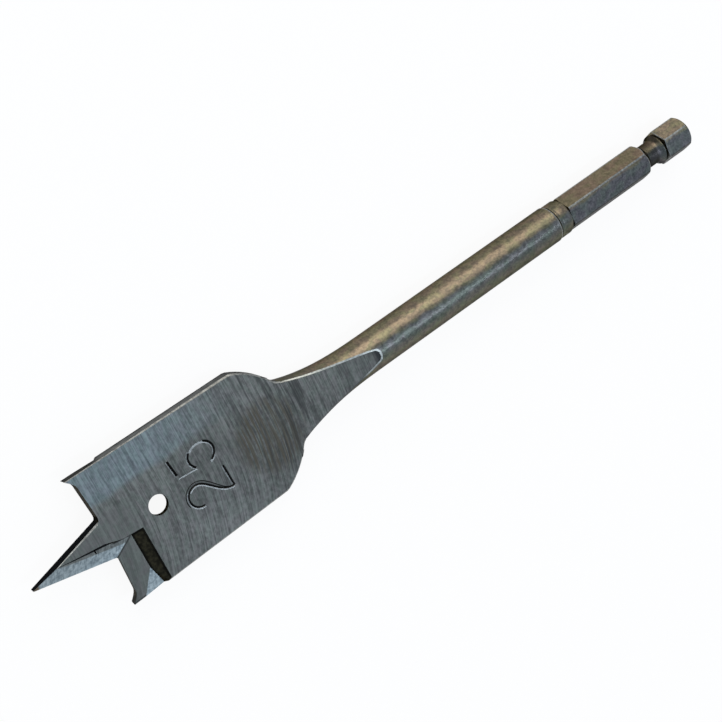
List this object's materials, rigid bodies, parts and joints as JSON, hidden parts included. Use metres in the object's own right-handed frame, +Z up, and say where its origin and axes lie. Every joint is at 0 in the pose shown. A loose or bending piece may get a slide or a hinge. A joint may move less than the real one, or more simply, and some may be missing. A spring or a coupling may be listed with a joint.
{
  "type": "spade drill bit",
  "caption": "Flat wood-boring spade bit: long centre point, spurred cutting edges, pierced blade tapering into a round shaft, and a grooved hexagonal quick-change shank.",
  "frame": {"origin": "on the floor, below the middle of the bit's length and its axis", "axes": "+X along the axis from the cutting tip to the shank's tail, +Z up from the floor and square to the blade's front face, Y across the blade"},
  "size_m": [0.152, 0.025, 0.0072],
  "materials": {
    "tool_steel": "ground blade, oxidised shank"
  },
  "bodies": {
    "root": {"spade_bit": "tool_steel"}
  },
  "joints": []
}
